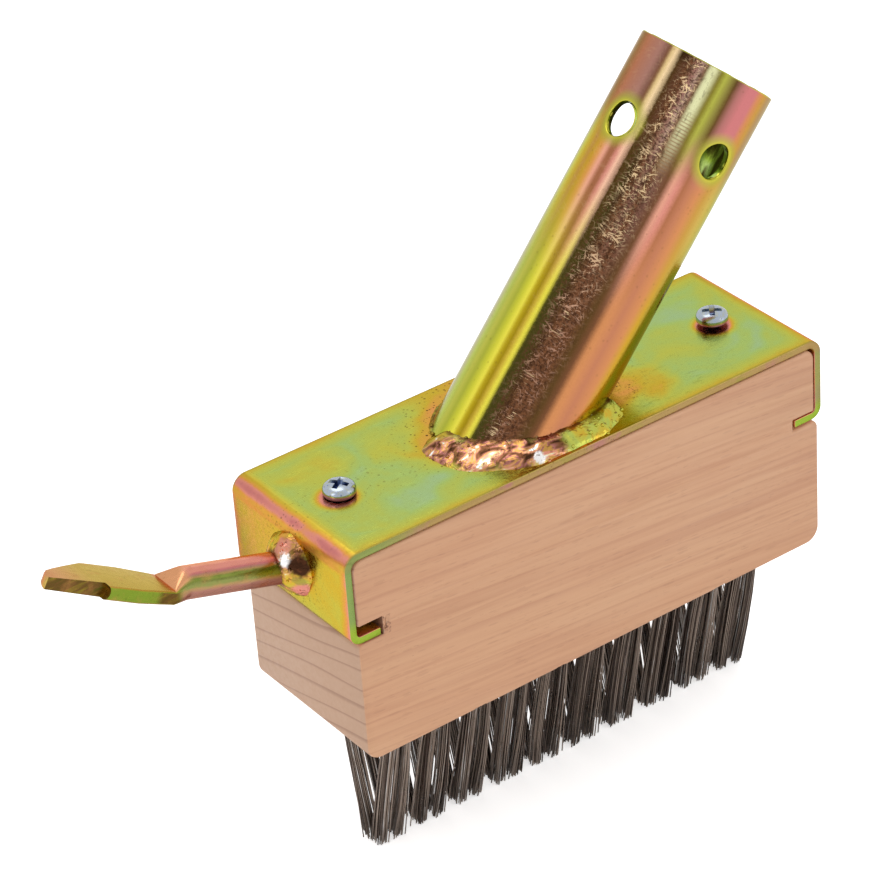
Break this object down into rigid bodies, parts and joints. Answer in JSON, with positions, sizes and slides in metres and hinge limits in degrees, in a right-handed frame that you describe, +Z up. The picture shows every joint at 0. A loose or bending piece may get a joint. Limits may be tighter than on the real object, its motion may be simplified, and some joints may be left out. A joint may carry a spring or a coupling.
{
  "type": "paving wire brush",
  "caption": "Paving brush head: wooden block with two converging rows of steel wire, bent sheet bracket, leaning handle socket and a flat pointed scraper.",
  "frame": {"origin": "under the middle of the head's box, level with the wire tips", "axes": "+X along the block towards the side that the socket leans to, with the scraper at -X; +Z up from the wire tips to the bracket"},
  "size_m": [0.2106, 0.046, 0.1863],
  "materials": {
    "beech": "bare sanded beech with fine flecks",
    "yellow_chromate_steel": "glossy iridescent yellow chromate over zinc",
    "yellow_chromate_tube": "near-mirror yellow chromate with fine drawn scratches",
    "chromate_weld": "lumpy weld under yellow chromate",
    "bright_zinc_screw": "bright blue-white zinc",
    "steel_wire": "dark drawn wire"
  },
  "bodies": {
    "root": {"brush_block": "beech", "mounting_bracket": "yellow_chromate_steel", "handle_socket": "yellow_chromate_tube", "socket_weld_bead": "chromate_weld", "weed_scraper": "yellow_chromate_steel", "scraper_weld_bead": "chromate_weld", "bracket_screw_left": "bright_zinc_screw", "bracket_screw_right": "bright_zinc_screw", "tuft_front_01": "steel_wire", "tuft_front_02": "steel_wire", "tuft_front_03": "steel_wire", "tuft_front_04": "steel_wire", "tuft_front_05": "steel_wire", "tuft_front_06": "steel_wire", "tuft_front_07": "steel_wire", "tuft_front_08": "steel_wire", "tuft_front_09": "steel_wire", "tuft_front_10": "steel_wire", "tuft_back_01": "steel_wire", "tuft_back_02": "steel_wire", "tuft_back_03": "steel_wire", "tuft_back_04": "steel_wire", "tuft_back_05": "steel_wire", "tuft_back_06": "steel_wire", "tuft_back_07": "steel_wire", "tuft_back_08": "steel_wire", "tuft_back_09": "steel_wire", "tuft_back_10": "steel_wire"}
  },
  "joints": []
}
